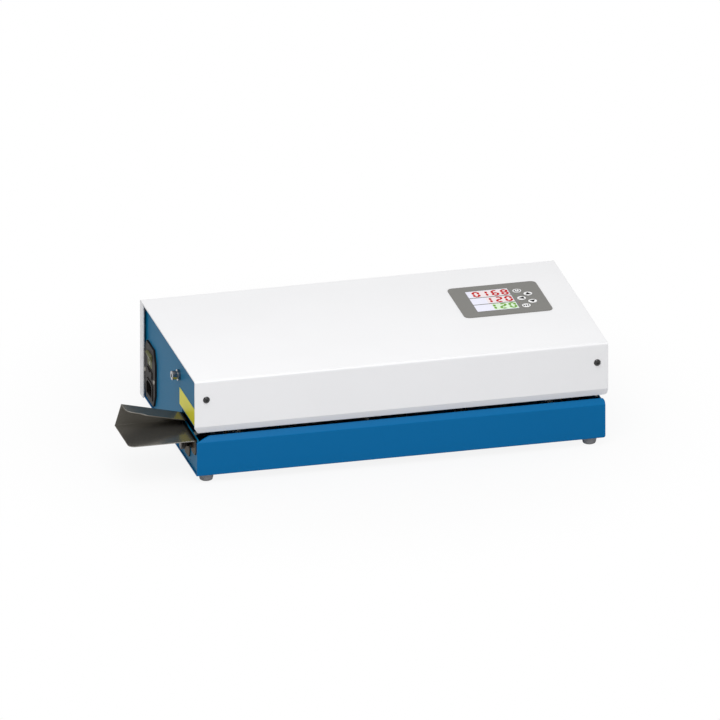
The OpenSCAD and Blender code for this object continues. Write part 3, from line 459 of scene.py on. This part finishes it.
# Thumbscrew and press rollers: turned steel, knurled with crossed ridges round the axis.
# The thumbscrew clamps the infeed guide, and the rollers press the warm seam together.
def knurled(name, node, axis, ridges, twist):
    """Dark knurled steel. The axis is 0 for x or 1 for y, and the twist slants the ridges."""
    made, inlets, place = finish_of(name, (0.06, 0.055, 0.05), 0.32, 1.0)
    low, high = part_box(node)
    centred = place.node("ShaderNodeVectorMath", {"operation": "SUBTRACT"},
                         in0=place, in1=(low + high) / 2)
    parts = centred.parts()
    along, u, v = parts[axis], parts[(axis + 1) % 3], parts[(axis + 2) % 3]
    angle = u.math("ARCTAN2", v) * ridges
    ridge = (angle + along * twist).math("SINE")
    cross = (angle - along * twist).math("SINE")
    soften(place, inlets, ridge.math("MAXIMUM", cross), 0.5, 0.0003, 0.0002)
    feed(inlets["Roughness"], noise(place, 400.0) * 0.12 + 0.26)
    dress(made, node)


knurled("knurled_thumbscrew", "guide_thumbscrew", 0, 30.0, 2600.0)
knurled("knurled_lower_roller", "lower_press_roller", 1, 48.0, 3000.0)
knurled("knurled_upper_roller", "upper_press_roller", 1, 48.0, 3000.0)

# Slot plates: plain pickled sheet steel, which guides the pouch edge towards the belts.
# The carrier, its feet, the motor plate and the heater holders are milled aluminium.
metal("guide_sheet", (0.24, 0.25, 0.23), 0.4, (30, 1800, 1800),
      "lower_guide_plate", "upper_guide_plate")
metal("milled_aluminium", (0.5, 0.51, 0.52), 0.36, (60, 900, 1500),
      "carrier_plate", "carrier_feet", "motor_plate", "heater_holders")

# Drive train: turned aluminium pulleys on ground steel shafts, in bronze bushes.
# Cut steel gears drive them, and woven, coated belts carry the pouch edge between them.
WEAVE = 9000
metal("turned_aluminium", (0.52, 0.53, 0.54), 0.3, (400, 2500, 400),
      "lower_drive_pulley", "upper_drive_pulley", "lower_idler_pulley", "upper_idler_pulley")
metal("ground_steel", (0.5, 0.5, 0.5), 0.22, (900, 120, 900), "lower_drive_shaft",
      "upper_drive_shaft", "lower_idler_shaft", "upper_idler_shaft", "motor_shaft")
metal("bronze", (0.42, 0.26, 0.1), 0.42, (700, 700, 700), "shaft_bushes")
metal("gear_steel", (0.42, 0.41, 0.38), 0.34, (800, 90, 800),
      "lower_drive_gear", "upper_drive_gear", "motor_pinion")
belt_cloth, inlets, place = finish_of("belt_cloth", (0.16, 0.11, 0.055), 0.6)
lengthwise, crosswise, _ = place.parts()
weave = (lengthwise * WEAVE).math("SINE") * (crosswise * WEAVE).math("SINE")
feed(inlets["Base Color"], tint(place, (0.13, 0.09, 0.045), (0.2, 0.14, 0.07), weave * 0.5 + 0.5))
soften(place, inlets, weave, 0.3, 0.0001)
dress(belt_cloth, "lower_belt", "upper_belt")

# Motor and heaters: a gearmotor in a dark enamelled can, screwed to its plate.
# The heater bars are brass, browned by heat in soft patches.
moulding("motor_can", (0.1, 0.1, 0.11), 0.4, "gear_motor", metallic=0.6, grain=400.0)
brass, inlets, place = finish_of("heated_brass", (0.5, 0.34, 0.12), 0.38, 1.0)
stain = noise(place, 45.0, 4.0)
feed(inlets["Base Color"], tint(place, (0.34, 0.2, 0.07), (0.58, 0.42, 0.16), stain))
feed(inlets["Roughness"], stain * 0.2 + 0.28)
dress(brass, "lower_heater_bar", "upper_heater_bar")

# Electronics: two solder-masked boards with pale tracks, on studs and spacers.
# Black moulded parts sit on them, and the power supply is potted in amber varnish.
board, inlets, place = finish_of("solder_mask", (0.012, 0.11, 0.045), 0.3)
track = place.node("ShaderNodeTexBrick", {"offset": 0.4}, Vector=place, Scale=130.0,
                   Color1=(0.01, 0.1, 0.04, 1), Color2=(0.014, 0.12, 0.05, 1),
                   Mortar=(0.03, 0.19, 0.08, 1))
feed(inlets["Base Color"], track)
feed(inlets["Roughness"], noise(place, 200.0) * 0.15 + 0.25)
dress(board, "display_board", "main_board")
moulding("component_black", (0.02, 0.02, 0.021), 0.45, "board_parts", grain=600.0)
moulding("varnish", (0.3, 0.2, 0.06), 0.35, "power_supply", grain=250.0)
